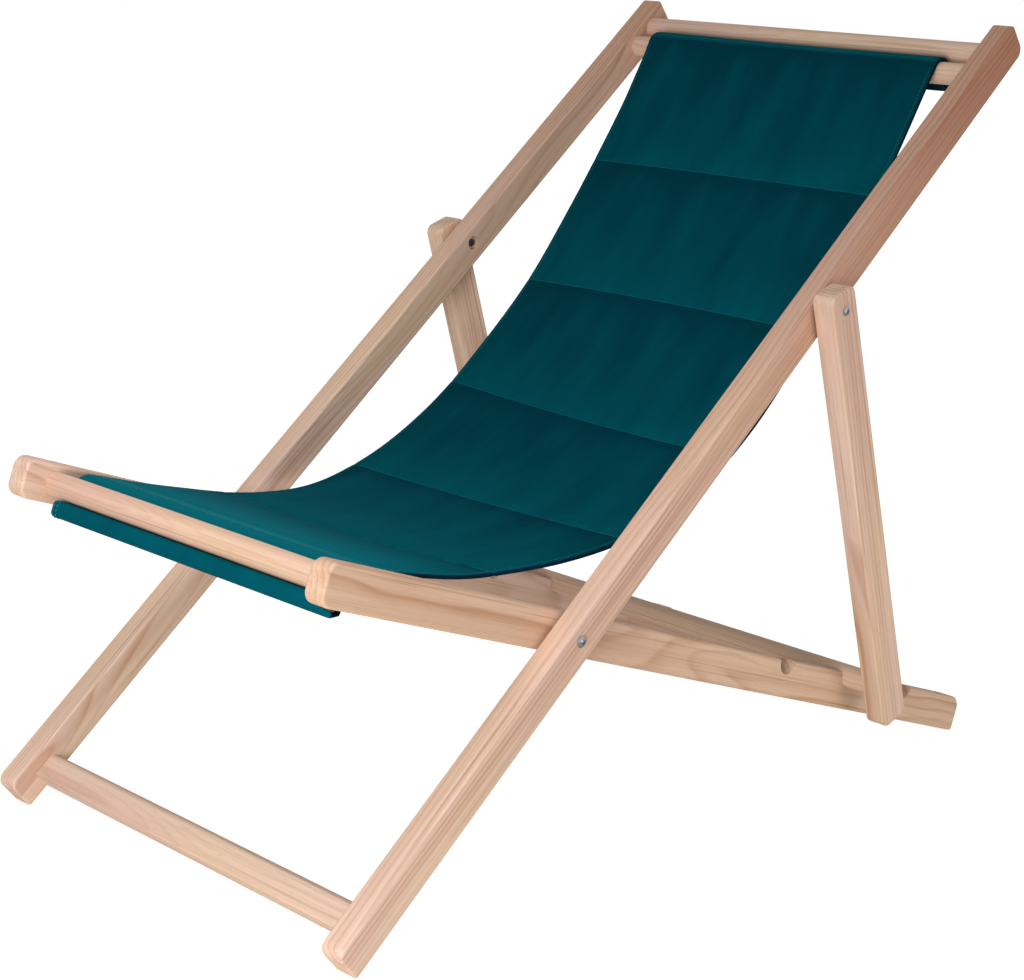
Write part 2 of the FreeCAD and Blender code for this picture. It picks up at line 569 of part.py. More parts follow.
def pivots(name, side):
    """The bolt, washer and nut of the seat pivot and of the prop pivot on one side."""
    seat_floor = "places.seat_inner + sizes.nut_pocket_depth"
    back_floor = "places.back_inner + sizes.nut_pocket_depth"
    bolt(f"seat_pivot_bolt_{name}", side, "seat", "places.back_outer",
         f"places.back_outer - ({seat_floor}) + sizes.side_clearance + sizes.seat_nut_height", PIVOT)
    bolt(f"prop_pivot_bolt_{name}", side, "prop", "places.prop_outer + sizes.side_clearance",
         f"places.prop_outer + sizes.side_clearance - ({back_floor}) + sizes.prop_nut_height", PROP_PIVOT)
    washer(f"seat_pivot_washer_{name}", side, SEAT_BOLT_BORE, "places.seat_outer", PIVOT)
    washer(f"prop_pivot_washer_{name}", side, PROP_BOLT_BORE, "places.back_outer", PROP_PIVOT)
    nut(f"seat_pivot_nut_{name}", side, "seat", SEAT_BOLT_BORE, seat_floor, "sizes.side_clearance", PIVOT)
    nut(f"prop_pivot_nut_{name}", side, "prop", PROP_BOLT_BORE, back_floor, "0", PROP_PIVOT)


# Sling and slats, in the side view: a point is V(0, y, z)

def side_point(pair):
    """The point that a pair of formulas gives."""
    return V(0, number(pair[0]), number(pair[1]))


def heading(angle):
    """Unit vector at an angle in degrees from +Y towards +Z."""
    return V(0, math.cos(math.radians(angle)), math.sin(math.radians(angle)))


def arc(centre, radius, first, last):
    """Arc about a centre, from one heading to another."""
    points = [centre + heading(first + (last - first) * share) * radius for share in (0, 0.5, 1)]
    return Part.Arc(*points).toShape()


def drape(start, leave, start_handle, end, arrive, end_handle):
    """The hanging sling's middle line as one cubic curve: a function of 0..1 to point and slope."""
    first, second = start + leave * start_handle, end - arrive * end_handle

    def at(share):
        rest = 1 - share
        point = (start * rest ** 3 + first * (3 * rest ** 2 * share)
                 + second * (3 * rest * share ** 2) + end * share ** 3)
        slope = ((first - start) * rest ** 2 + (second - first) * (2 * rest * share)
                 + (end - second) * share ** 2)
        return point, slope.normalize()
    return at


def drape_edge(at, offset, spans=10):
    """Arcs through the drape's points, offset to one face of the cloth."""
    def face_point(share):
        point, slope = at(share)
        return point + V(0, -slope.z, slope.y) * offset
    return [Part.Arc(*[face_point((span + part) / spans) for part in (0, 0.5, 1)]).toShape()
            for span in range(spans)]


def slat_place(dowel, rail_angle, shift, dowel_radius, leave):
    """Centre of a slat that lies across two dowels, on the side that the cloth leaves by."""
    off = dowel_radius + 2 * value("sizes.sling_clearance") + value("sizes.pocket_thick") \
        + value("sizes.slat_thick") / 2
    return dowel + heading(rail_angle) * (value("sizes.dowel_pitch") / 2 + shift) + leave * off


def block(centre, angle, width, thick, start, end):
    """A bar across the chair with a rectangular section, from one X to another."""
    along, across = heading(angle) * (width / 2), heading(angle + 90) * (thick / 2)
    corners = [centre - along - across, centre + along - across, centre + along + across,
               centre - along + across, centre - along - across]
    outline = Part.makePolygon([corner + V(start, 0, 0) for corner in corners])
    return Part.Face(outline).extrude(V(end - start, 0, 0))


def centred(label, shape, length):
    """A sub-part whose shape is made from X = 0, set even about the middle."""
    thing = doc.addObject("Part::Feature", label)
    thing.Shape = shape
    thing.Placement = FreeCAD.Placement(V(-length / 2, 0, 0), FreeCAD.Rotation())
    parts.append(thing)


def sling_and_slats():
    """The sling goes over the two inner dowels, out between each pair, and round a slat."""
    thick, clear = value("sizes.sling_thick"), value("sizes.sling_clearance")
    cloth = clear + value("sizes.pocket_thick")
    back_radius, seat_radius = value("sizes.back_dowel_radius"), value("sizes.dowel_radius")
    top_dowel = side_point(on_back("places.back_sling_dowel_run", "places.back_middle"))
    front_dowel = side_point(on_seat("-places.seat_sling_dowel_run", "places.seat_middle"))
    top_ring, front_ring = back_radius + clear + thick / 2, seat_radius + clear + thick / 2
    top_slope, front_slope = value("sizes.sling_top_angle"), value("sizes.sling_front_angle")
    up_the_back, to_the_front = value("sizes.back_angle"), 180 - value("sizes.seat_angle")
    behind, below = heading(up_the_back - 90), heading(to_the_front + 90)
    top_touch, front_touch = 90 + top_slope, 90 - front_slope
    at = drape(front_dowel + heading(front_touch) * front_ring, heading(-front_slope),
               value("sizes.sling_front_handle"),
               top_dowel + heading(top_touch) * top_ring, heading(top_slope),
               value("sizes.sling_top_handle"))

    edges = []
    for offset in (thick / 2, -thick / 2):
        front_gap = front_dowel + heading(to_the_front) * (front_ring + offset)
        top_gap = top_dowel + heading(up_the_back) * (top_ring + offset)
        edges.append([
            Part.LineSegment(front_gap + below * (seat_radius + cloth / 2), front_gap).toShape(),
            arc(front_dowel, front_ring + offset, to_the_front, front_touch),
            *drape_edge(at, offset),
            arc(top_dowel, top_ring + offset, top_touch, up_the_back),
            Part.LineSegment(top_gap, top_gap + behind * (back_radius + cloth / 2)).toShape()])
    upper, lower = edges
    caps = [Part.LineSegment(upper[edge].Vertexes[edge].Point, lower[edge].Vertexes[edge].Point).toShape()
            for edge in (0, -1)]
    width = value("sizes.sling_width")
    band = Part.Face(Part.Wire(Part.__sortEdges__(upper + lower + caps))).extrude(V(width, 0, 0))

    slat_width, slat_thick = value("sizes.slat_width"), value("sizes.slat_thick")
    pocket_start = value("sizes.pocket_setback")
    pocket_end = width - pocket_start
    slat_start = pocket_start + value("sizes.slat_setback")
    slat_length = width - 2 * slat_start
    pockets = []
    for label, dowel, radius, angle, shift, leave in (
            ("front_slat", front_dowel, seat_radius, to_the_front, value("sizes.front_slat_shift"), below),
            ("top_slat", top_dowel, back_radius, up_the_back, value("sizes.top_slat_shift"), behind)):
        middle = slat_place(dowel, angle, shift, radius, leave)
        outside = block(middle, angle, slat_width + 2 * cloth, slat_thick + 2 * cloth,
                        pocket_start, pocket_end)
        room = block(middle, angle, slat_width + 2 * clear, slat_thick + 2 * clear,
                     pocket_start, pocket_end)
        pockets.append(outside.cut(room))
        centred(label, block(middle, angle, slat_width, slat_thick, 0, slat_length), slat_length)
    centred("sling", band.fuse(pockets).removeSplitter().Solids[0], width)


for side_name, side_sign in SIDES.items():
    back_rail(side_name, side_sign)
    seat_rail(side_name, side_sign)
    prop_strut(side_name, side_sign)
    pivots(side_name, side_sign)
cross_dowel("top_dowel", "sizes.back_dowel_radius", "places.back_inner",
            *on_back("places.top_dowel_run", "places.back_middle"))
cross_dowel("back_sling_dowel", "sizes.back_dowel_radius", "places.back_inner",
            *on_back("places.back_sling_dowel_run", "places.back_middle"))
foot_stretcher()
cross_dowel("front_dowel", "sizes.dowel_radius", "places.seat_inner",
            *on_seat("-places.front_dowel_run", "places.seat_middle"))
cross_dowel("seat_sling_dowel", "sizes.dowel_radius", "places.seat_inner",
            *on_seat("-places.seat_sling_dowel_run", "places.seat_middle"))
cross_dowel("rear_dowel", "sizes.dowel_radius", "places.seat_inner",
            *on_seat("places.rear_dowel_run", "places.seat_middle"))
cross_dowel("prop_dowel", "sizes.dowel_radius", "places.prop_inner",
            "places.prop_dowel_y", "places.prop_dowel_z")
sling_and_slats()
doc.recompute()

for thing in doc.Objects:
    if {"Invalid", "Error"} & set(thing.State):
        raise ValueError(f"{thing.Label} failed to recompute")
os.makedirs("parts", exist_ok=True)
for thing in parts:
    shape = thing.Shape
    if shape.isNull() or not shape.isValid() or len(shape.Solids) != 1:
        raise ValueError(f"{thing.Label}: shape is not one valid solid")
    shape.exportStep(os.path.join("parts", thing.Label + ".step"))
print(len(parts), "parts written")
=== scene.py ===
# %% [markdown]
# # A folding deck chair with a padded canvas sling
#
# The chair is three wooden frames on two pairs of bolts. A padded sling hangs between the
# top of one frame and the front of another. The wooden parts and the bolts come from the
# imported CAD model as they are, and get their grain and shine here. The sling can't be told
# by a CAD solid, so it is made new, as one sewn and padded sheet.

import math

import bpy
import numpy as np
from mathutils import Matrix, Vector


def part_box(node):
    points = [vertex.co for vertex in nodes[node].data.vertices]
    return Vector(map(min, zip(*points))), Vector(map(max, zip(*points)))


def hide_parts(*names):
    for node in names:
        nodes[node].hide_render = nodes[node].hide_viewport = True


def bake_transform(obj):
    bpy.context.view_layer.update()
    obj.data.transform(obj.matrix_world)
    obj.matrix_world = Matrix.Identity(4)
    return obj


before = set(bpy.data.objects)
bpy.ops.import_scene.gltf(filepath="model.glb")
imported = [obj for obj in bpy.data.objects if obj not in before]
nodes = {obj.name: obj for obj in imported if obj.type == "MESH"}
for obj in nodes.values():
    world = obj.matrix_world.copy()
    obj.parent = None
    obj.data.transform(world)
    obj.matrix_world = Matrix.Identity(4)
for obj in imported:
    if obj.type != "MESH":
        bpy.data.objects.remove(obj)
scene = bpy.context.scene
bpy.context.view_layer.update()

# %% [markdown]
# ## The camera
#
# The photograph was taken from the front left of the sitter, a little above the seat, with a
# long lens held at a slight tilt. A camera could be placed by hand and nudged until it looks
# right. Here its three directions were worked out from the long straight rails, because
# eight known edges fix them better than the eye does.

# %% Camera
to_the_right = Vector((0.71854, 0.69307, 0.05793))
upward = Vector((-0.20524, 0.13174, 0.96983))
backward = Vector((0.66451, -0.70875, 0.23691))
turn = Matrix((to_the_right, upward, backward)).transposed().to_4x4()

camera = bpy.data.objects.new("camera", bpy.data.cameras.new("camera"))
scene.collection.objects.link(camera)
camera.matrix_world = Matrix.Translation((1.5596, -1.7086, 0.8883)) @ turn
camera.data.sensor_width = 36
camera.data.lens = 75.53
scene.camera = camera
print("camera", camera.data.lens, "mm")

# %% [markdown]
# ## Node maths in Python
#
# A pattern such as wood grain is a long sum of Math nodes. Wiring it by hand is slow to read
# and to change. Wrapping each output in a small class that knows +, -, * and / lets the sum
# be written as a formula, and every other node comes from one method.

# %% Finishes
class Wire:
    """One output of a node. Sums and products with it add Math nodes."""

    def __init__(self, finish, socket):
        self.finish = finish
        self.socket = socket

    def maths(self, operation, *values):
        inputs = dict(enumerate(values))
        return self.finish.node("ShaderNodeMath", {"operation": operation}, inputs)

    def __add__(self, other):
        return self.maths("ADD", self, other)

    def __radd__(self, other):
        return self.maths("ADD", other, self)

    def __sub__(self, other):
        return self.maths("SUBTRACT", self, other)

    def __rsub__(self, other):
        return self.maths("SUBTRACT", other, self)

    def __mul__(self, other):
        return self.maths("MULTIPLY", self, other)

    def __rmul__(self, other):
        return self.maths("MULTIPLY", other, self)

    def __truediv__(self, other):
        return self.maths("DIVIDE", self, other)

    def __pow__(self, other):
        return self.maths("POWER", self, other)

    def sine(self):
        return self.maths("SINE", self)

    def fraction(self):
        return self.maths("FRACT", self)

    def clamped(self):
        return self.maths("MINIMUM", self.maths("MAXIMUM", self, 0.0), 1.0)


class Finish:
    """A material that is built up node by node."""

    def __init__(self, name):
        self.material = bpy.data.materials.new(name)
        self.material.use_nodes = True
        self.tree = self.material.node_tree
        self.tree.nodes.clear()

    def node(self, kind, settings=None, inputs=None, output=0):
        """Adds a node: its type, its settings, and the values or wires of its sockets."""
        made = self.tree.nodes.new(kind)
        for name, setting in (settings or {}).items():
            if name == "stops":
                ramp = made.color_ramp.elements
                while len(ramp) < len(setting):
                    ramp.new(0.5)
                for stop, (place, colour) in zip(ramp, setting):
                    stop.position = place
                    stop.color = colour
            else:
                setattr(made, name, setting)
        for name, given in (inputs or {}).items():
            if isinstance(given, Wire):
                self.tree.links.new(given.socket, made.inputs[name])
            else:
                made.inputs[name].default_value = given
        return Wire(self, made.outputs[output])

    def blend(self, share, first, second):
        """A colour that goes from first to second as share goes from 0 to 1."""
        inputs = {0: share, 6: first, 7: second}
        return self.node("ShaderNodeMix", {"data_type": "RGBA"}, inputs, 2)

    def noise(self, place, scale, detail=2.0, roughness=0.5):
        """Cloudy noise between 0 and 1."""
        inputs = {"Vector": place, "Scale": scale, "Detail": detail, "Roughness": roughness}
        return self.node("ShaderNodeTexNoise", None, inputs)

    def stretched(self, place, scales):
        """A place measured with another scale along each axis."""
        inputs = {0: place, 1: scales}
        return self.node("ShaderNodeVectorMath", {"operation": "MULTIPLY"}, inputs)

    def parts_of(self, place):
        """The x, y and z of a place, each as a wire."""
        split = self.node("ShaderNodeSeparateXYZ", None, {0: place})
        return [Wire(self, socket) for socket in split.socket.node.outputs]

    def bumped(self, height, strength, distance):
        """A surface direction that follows the height."""
        inputs = {"Strength": strength, "Distance": distance, "Height": height}
        return self.node("ShaderNodeBump", None, inputs)

    def shaded(self, inputs):
        """Ends the material in a Principled shader with these sockets."""
        shader = self.node("ShaderNodeBsdfPrincipled", None, inputs)
        self.node_output(shader)
        return self.material

    def node_output(self, shader):
        output = self.tree.nodes.new("ShaderNodeOutputMaterial")
        self.tree.links.new(shader.socket, output.inputs["Surface"])


def paint(red, green, blue):
    """A colour picked from 0 to 255 as on a screen, turned into the light that nodes use."""
    screen = np.array([red, green, blue]) / 255
    light = np.where(screen <= 0.04045, screen / 12.92, ((screen + 0.055) / 1.055) ** 2.4)
    return (*light.tolist(), 1.0)


print("white paint is", paint(255, 255, 255))

# %% [markdown]
# ## The studio
#
# The photograph is cut out on plain white. The floor is a wide pale disc: it keeps the
# chair's soft shadow, and it glows a little to the camera alone, so that it fades into the
# white behind. The wood is bright at the feet and three times darker at the top, and that
# tells where the lamp stood: low, in front and near. A small one above the seat's front
# reaches only as far as its narrow spread lets it. A weaker, warmer one fills from the
# right, and the world lights the rest.

# %% Floor, world and lamps
def disc(name, radius, rings, spokes):
    """A flat disc: x = r cos a, y = r sin a, on a grid of radii r and angles a."""
    r, a = np.meshgrid(np.linspace(0.02, 1, rings) ** 2 * radius, np.arange(spokes) / spokes * math.tau)
    places = np.stack([r * np.cos(a), r * np.sin(a), np.zeros_like(r)], axis=-1).reshape(-1, 3)
    spoke, ring = np.meshgrid(np.arange(spokes), np.arange(rings - 1), indexing="ij")
    here, there = spoke * rings + ring, (spoke + 1) % spokes * rings + ring
    faces = np.stack([here, here + 1, there + 1, there], axis=-1).reshape(-1, 4)
    middle = np.arange(spokes) * rings
    mesh = bpy.data.meshes.new(name)
    mesh.from_pydata(places.tolist(), [], faces.tolist() + [middle.tolist()])
    made = bpy.data.objects.new(name, mesh)
    scene.collection.objects.link(made)
    return made


floor = disc("floor", 30.0, 24, 64)
floor_finish = Finish("pale_floor")
floor_grey = floor_finish.noise(floor_finish.node("ShaderNodeTexCoord", output=3), 0.7) * 0.01 + 0.99
matt = floor_finish.node("ShaderNodeBsdfDiffuse", None, {
    "Color": floor_finish.blend(floor_grey, paint(225, 225, 226), paint(240, 240, 240))})
glow = floor_finish.node("ShaderNodeEmission", None, {"Color": (1, 1, 1, 1), "Strength": 0.78})
both = floor_finish.node("ShaderNodeAddShader", None, {0: matt, 1: glow})
seen = floor_finish.node("ShaderNodeLightPath")
floor_finish.node_output(floor_finish.node("ShaderNodeMixShader", None, {0: seen, 1: matt, 2: both}))
floor.data.materials.append(floor_finish.material)

world = bpy.data.worlds.new("studio")
scene.world = world
world.use_nodes = True
world.node_tree.nodes.clear()
air = world.node_tree.nodes


def world_light(colour, strength):
    """The output of one background shader."""
    made = air.new("ShaderNodeBackground")
    made.inputs["Color"].default_value = colour
    made.inputs["Strength"].default_value = strength
    return made.outputs[0]


rays = air.new("ShaderNodeLightPath").outputs
camera_or_glossy = air.new("ShaderNodeMath")
camera_or_glossy.operation = "MAXIMUM"
any_seen = air.new("ShaderNodeMath")
any_seen.operation = "MAXIMUM"
choice = air.new("ShaderNodeMixShader")
wires = world.node_tree.links
wires.new(rays["Is Camera Ray"], camera_or_glossy.inputs[0])
wires.new(rays["Is Glossy Ray"], camera_or_glossy.inputs[1])
wires.new(camera_or_glossy.outputs[0], any_seen.inputs[0])
wires.new(rays["Is Transmission Ray"], any_seen.inputs[1])
wires.new(any_seen.outputs[0], choice.inputs[0])
wires.new(world_light((1, 0.97, 0.94, 1), 0.38), choice.inputs[1])
wires.new(world_light((1, 1, 1, 1), 1.0), choice.inputs[2])
wires.new(choice.outputs[0], air.new("ShaderNodeOutputWorld").inputs[0])


def soft_lamp(name, place, target, size, power, spread, colour=(1, 1, 1)):
    """A square area lamp that looks at a point; spread is its angle in degrees."""
    lamp = bpy.data.lights.new(name, "AREA")
    lamp.size = size
    lamp.energy = power
    lamp.color = colour
    lamp.spread = math.radians(spread)
    made = bpy.data.objects.new(name, lamp)
    scene.collection.objects.link(made)
    aim = Vector(target) - Vector(place)
    made.matrix_world = Matrix.Translation(place) @ aim.to_track_quat("-Z", "Y").to_matrix().to_4x4()
    made.visible_camera = False
    return made


soft_lamp("key", (0.90, -1.85, 0.50), (0, -0.35, 0.22), size=0.9, power=21, spread=180)
soft_lamp("overhead", (0, -0.62, 1.75), (0, -0.60, 0), size=0.5, power=1.3, spread=70)
soft_lamp("fill", (1.50, 0.25, 0.15), (0.25, 0.35, 0.03), size=0.8, power=1.7, spread=100,
          colour=(1, 0.92, 0.82))
scene.view_settings.view_transform = "Standard"
print("floor, world and", len(bpy.data.lights), "lamps")

# %% [markdown]
# ## Wood with rings
#
# The frames are pale hardwood, oiled or bare, with growth rings that run along each rail and
# arch where the saw crossed them. A flat stripe picture would stop at the edges. A tree grows
# in tubes round its pith, so the rings here are tubes too: the distance from a pith line
# outside the rail, bent by slow noise. The rail's faces and ends cut them as a saw would, and
# the end shows the layers that the photograph shows.

# %% Wood finish
def wood(name, centre, turns, pith, ring, tint=0.5, tone_and_shade=(0, 0, 0), streak=1.0):
    """Rings round a pith line, broad soft bands, and fine brown lines and pores along it.

    centre, turns: the piece's middle and the rotation that lays the fibres along local y.
    pith: the pith line's x and z beside the piece, and how much it leans along y.
    ring: width of a growth ring. tint: 0 for yellowish wood, 1 for pinkish.
    tone_and_shade: how much more brown the wood is at its middle, which is its own tone; and
    painted shade: the change per metre upwards, where the light falls off along the piece, and
    how much is added on its outer side, beyond x = 10 mm, where it grows towards the top.
    streak: how clearly the rings show.
    """
    finish = Finish(name)
    place = finish.node("ShaderNodeMapping", {"vector_type": "TEXTURE"}, {
        "Vector": finish.node("ShaderNodeTexCoord", output=3), "Location": centre, "Rotation": turns})
    x, y, z = finish.parts_of(place)
    wander = finish.noise(finish.stretched(place, (9, 2.2, 9)), 1.0, 1.5) - 0.5
    waver = finish.noise(finish.stretched(place, (30, 6, 30)), 1.0, 2.0) - 0.5
    from_x = x - pith[0] - y * pith[2] + wander * 0.060
    from_z = z - pith[1] + y * pith[2] * 0.6 + waver * 0.012
    radius = (from_x * from_x + from_z * from_z) ** 0.5
    age = radius / ring + waver * 0.8
    season = age.fraction()
    late = finish.node("ShaderNodeValToRGB", {"stops": (
        (0.0, (0.10, 0.10, 0.10, 1)), (0.15, (0, 0, 0, 1)), (0.55, (0.22, 0.22, 0.22, 1)),
        (0.88, (1, 1, 1, 1)), (1.0, (0.25, 0.25, 0.25, 1)))}, {0: season})
    strong = finish.noise(finish.stretched(place, (34, 1.6, 34)), 1.0, 1.0)
    broad = finish.noise(finish.stretched(place, (95, 2.0, 95)), 1.0, 2.0)
    fibre = finish.noise(finish.stretched(place, (800, 12, 800)), 1.0, 3.0, 0.65)
    lines = (finish.noise(finish.stretched(place, (420, 3.5, 420)), 1.0, 1.0) * 9 - 5.6).clamped()
    pores = (finish.noise(finish.stretched(place, (1500, 60, 1500)), 1.0, 1.0) * 6 - 3.9).clamped()
    pink = (finish.noise(finish.stretched(place, (14, 3, 14)), 1.0, 2.0) * 3 - 2.0 + tint).clamped()

    light = finish.blend(pink, paint(238, 209, 182), paint(238, 206, 190))
    brown = finish.blend(pink, paint(200, 153, 116), paint(200, 152, 126))
    rings = (late * (strong * 1.9 - 0.35) * (0.70 * streak) + broad * 1.1 - 0.45).clamped()
    colour = finish.blend(rings, light, brown)
    colour = finish.blend((fibre * 2.6 - 1.2).clamped() * 0.30, colour, paint(188, 142, 109))
    colour = finish.blend(lines * strong * 0.75, colour, paint(150, 104, 74))
    colour = finish.blend(pores * 0.35, colour, paint(146, 104, 74))
    # painted shade: the wood grows more brown along the piece and on its outer side towards the top, where
    # less light falls; the middle value is the piece's own tone
    shaded_outer_side = ((x - 0.010) * 400.0).clamped() * (y * 2.0).clamped()
    browner_and_shaded = (y * tone_and_shade[1] + tone_and_shade[0] + shaded_outer_side * tone_and_shade[2]).clamped()
    colour = finish.blend(browner_and_shaded, colour, finish.stretched(colour, (0.62, 0.40, 0.32)))
    height = fibre * 0.5 - late * 0.25 - pores * 0.8 - lines * 0.5
    return finish.shaded({
        "Base Color": colour,
        "Roughness": 0.62 - late * 0.08 + fibre * 0.10,
        "Specular IOR Level": 0.25,
        "Normal": finish.bumped(height, 0.22, 0.0004)})


def middle_of(node):
    low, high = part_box(node)
    return (low + high) / 2


def dress(node, material):
    """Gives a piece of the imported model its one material."""
    nodes[node].data.materials.clear()
    nodes[node].data.materials.append(material)


# degrees above or below level, in the side view
BACK_ANGLE, SEAT_ANGLE, PROP_ANGLE = 40.88, 18.24, 70.02

ALONG_X = (0, 0, -math.pi / 2)
ALONG_BACK = (math.radians(BACK_ANGLE), 0, 0)
ALONG_SEAT = (math.radians(-SEAT_ANGLE), 0, 0)
ALONG_PROP = (math.radians(-PROP_ANGLE), 0, 0)

# the rings show only half as clearly on the turned and the thin pieces that run across
STREAK_ALONG, STREAK_ACROSS = 1.0, 0.5

# node, rotation, pith (x, z, lean), ring width, tint, tone_and_shade (middle tone, painted
# shade per metre, painted shade on the outer side)
TIMBER = (
    ("back_rail_left", ALONG_BACK, (0.030, 0.050, 0.012), 0.0062, 0.95, (0.28, 0.52, 0.35)),
    ("back_rail_right", ALONG_BACK, (-0.048, 0.032, -0.014), 0.0055, 0.80, (0.06, 0.68, 0)),
    ("seat_rail_left", ALONG_SEAT, (-0.034, -0.016, 0.034), 0.0085, 0.35, (0.20, -0.28, 0)),
    ("seat_rail_right", ALONG_SEAT, (-0.060, 0.006, -0.030), 0.0070, 1.00, (0.05, 0, 0)),
    ("prop_strut_left", ALONG_PROP, (0.012, 0.058, 0.020), 0.0060, 0.95, (0, 0, 0)),
    ("prop_strut_right", ALONG_PROP, (0.030, -0.040, 0.020), 0.0060, 0.50, (0, 0, 0)),
    ("front_dowel", ALONG_X, (0.030, 0.014, 0.020), 0.0045, 0.75, (0.26, 0, 0)),
    ("seat_sling_dowel", ALONG_X, (-0.040, 0.020, 0.010), 0.0045, 0.50, (0, 0, 0)),
    ("rear_dowel", ALONG_X, (0.024, -0.030, 0.014), 0.0048, 0.55, (0.1, 0, 0)),
    ("prop_dowel", ALONG_X, (-0.020, 0.030, 0.016), 0.0046, 0.45, (0.1, 0, 0)),
    ("top_dowel", ALONG_X, (0.026, 0.022, 0.012), 0.0044, 0.90, (0, 0, 0)),
    ("back_sling_dowel", ALONG_X, (-0.028, -0.026, 0.018), 0.0044, 0.60, (0, 0, 0)),
    ("foot_stretcher", ALONG_X, (0.040, 0.020, 0.014), 0.0048, 0.95, (0, 0, 0)),
    ("top_slat", ALONG_X, (0.030, 0.030, 0.020), 0.0052, 0.50, (0.2, 0, 0)),
    ("front_slat", ALONG_X, (0.034, -0.024, 0.022), 0.0052, 0.45, (0.2, 0, 0)),
)
for node, turns, pith, ring, tint, tone_and_shade in TIMBER:
    streak = STREAK_ACROSS if turns is ALONG_X else STREAK_ALONG
    dress(node, wood(f"wood_{node}", middle_of(node), turns, pith, ring, tint, tone_and_shade, streak))
print(len(TIMBER), "wooden pieces, each with its own rings")

# %% [markdown]
# ## Bolts, nuts and washers
#
# The domed heads are bright zinc plate: silver with a slightly cloudy shine and a few fine
# scratches from the driver. A mirror would look like chrome, so the roughness varies. The
# washers between the frames are natural nylon, which is milky and a little soft.

# %% Zinc and nylon
def zinc():
    """Metal whose shine is broken by clouds and fine scratches."""
    finish = Finish("zinc_plate")
    place = finish.node("ShaderNodeTexCoord", output=3)
    clouds = finish.noise(place, 420, 2.0)
    scratches = finish.noise(finish.stretched(place, (900, 4200, 1300)), 1.0, 2.0)
    return finish.shaded({
        "Base Color": finish.blend(clouds, paint(140, 144, 149), paint(172, 176, 180)),
        "Metallic": 1.0,
        "Roughness": 0.20 + clouds * 0.14 + scratches * 0.06,
        "Normal": finish.bumped(scratches, 0.12, 0.0001)})


def nylon():
    """Milky plastic with a faint moulded mottle."""
    finish = Finish("natural_nylon")
    place = finish.node("ShaderNodeTexCoord", output=3)
    mottle = finish.noise(place, 600, 2.0)
    return finish.shaded({
        "Base Color": finish.blend(mottle, paint(222, 219, 208), paint(232, 230, 221)),
        "Roughness": 0.46 + mottle * 0.08,
        "Normal": finish.bumped(mottle, 0.10, 0.0001)})


zinc_plate, natural_nylon = zinc(), nylon()
pivot_pieces = [node for node in nodes if "pivot" in node]
for node in pivot_pieces:
    dress(node, natural_nylon if "washer" in node else zinc_plate)
print("zinc and nylon on", len(pivot_pieces), "pieces")

# %% [markdown]
# ## The sling's path
#
# From the side the sling is one line. It starts in a pocket round the front slat, rises
# through the gap between the two front dowels, turns over the inner one, hangs in a long
# curve, turns over the inner top dowel and goes down into the pocket round the top slat.
# Bolts and dowels fix its ends, and the hanging part is one cubic curve, which is close to
# what padded cloth under its own weight does.

# %% Side view of the sling
# half the thickness of bare and of padded cloth, and its distance from wood
CANVAS, PADDED, CLEAR = 0.0012, 0.0025, 0.0003

# a slat's width and thickness, its rounding, and how far it is from the middle of its dowels
SLAT_WIDE, SLAT_THICK, SLAT_ROUND = 0.040, 0.012, 0.0036
FRONT_SHIFT, TOP_SHIFT = 0.0085, 0.005

# how far the hanging curve keeps the slope that it has at either end
FRONT_HANDLE, TOP_HANDLE = 0.390, 0.583


def heading(degrees):
    """Unit vectors in the side view, at angles from the rear (+Y) towards the top (+Z)."""
    a = np.radians(np.atleast_1d(degrees).astype(float))
    return np.stack([np.cos(a), np.sin(a)], axis=-1)


def arc(centre, radius, first, last, count=12):
    """Points at one distance from a centre, with an evenly changing angle."""
    return centre + heading(np.linspace(first, last, count)) * radius


def side_of(node):
    """Centre of a piece in the side view, and half its height there."""
    low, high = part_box(node)
    return np.array([(low.y + high.y) / 2, (low.z + high.z) / 2]), (high.z - low.z) / 2


def rounded_box(wide, thick, radius, count=7):
    """Round a box from the middle of its lower side and back: straight sides and four arcs."""
    x, y = wide / 2 - radius, thick / 2 - radius
    corners = [arc(np.array(c), radius, a, a + 90, count)
               for c, a in (((x, -y), -90), ((x, y), 0), ((-x, y), 90), ((-x, -y), 180))]
    return np.concatenate([[(0.0, -thick / 2)], *corners, [(0.0, -thick / 2)]])


front_centre, front_radius = side_of("seat_sling_dowel")
top_centre, top_radius = side_of("back_sling_dowel")
front_ring, top_ring = front_radius + CLEAR + PADDED, top_radius + CLEAR + PADDED
SEAT_UP, BACK_UP = 180 - SEAT_ANGLE, BACK_ANGLE
LEAVES_FRONT, REACHES_TOP = -15.0, 58.2


def pocket_path(slat, along, away):
    """The cloth's way round a slat, clockwise, so that its upper face stays outside."""
    centre = side_of(slat)[0]
    cloth = 2 * (CLEAR + CANVAS)
    loop = rounded_box(SLAT_WIDE + cloth, SLAT_THICK + cloth, SLAT_ROUND)[::-1]
    return centre + loop[:, :1] * heading(along)[0] + loop[:, 1:] * heading(away)[0]


def cubic(start, first, second, end, count=240):
    """A curve: start (1-t)^3 + first 3 (1-t)^2 t + second 3 (1-t) t^2 + end t^3."""
    t = np.linspace(0, 1, count)[:, None]
    return (start * (1 - t) ** 3 + first * 3 * (1 - t) ** 2 * t
            + second * 3 * (1 - t) * t ** 2 + end * t ** 3)


